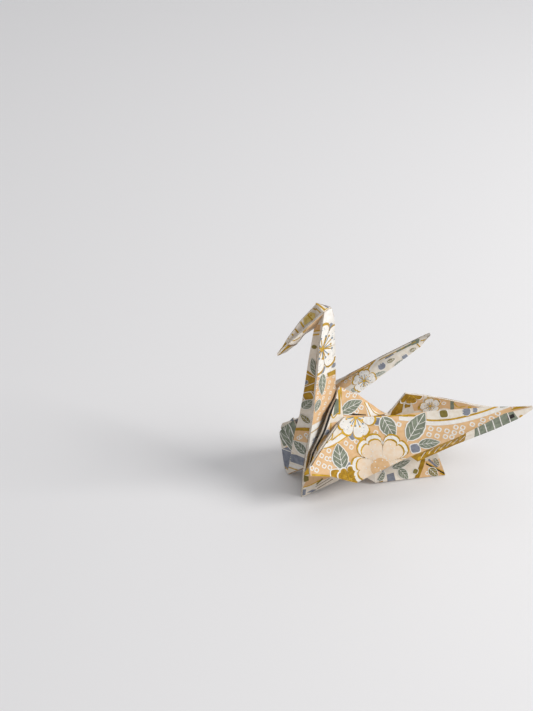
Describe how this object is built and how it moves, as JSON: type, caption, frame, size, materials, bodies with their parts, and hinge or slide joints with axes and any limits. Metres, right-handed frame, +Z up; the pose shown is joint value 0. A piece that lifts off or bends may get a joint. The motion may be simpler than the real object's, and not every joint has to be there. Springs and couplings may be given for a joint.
{
  "type": "origami crane",
  "caption": "Origami crane folded from one printed square of paper: upright neck with bent head, pointed tail spike, low body and two wings swept to the rear.",
  "frame": {"origin": "middle of the footprint box, on the surface the crane stands on", "axes": "+Z up; +X from the neck towards the tail and wing tips, so the beak points to -X; -Y is the near side with the fuller wing"},
  "size_m": [0.0682, 0.0284, 0.0559],
  "materials": {
    "printed_paper": "matte printed washi, cream and peach with floral print and gold line"
  },
  "bodies": {
    "root": {"crane_sheet": "printed_paper"}
  },
  "joints": []
}
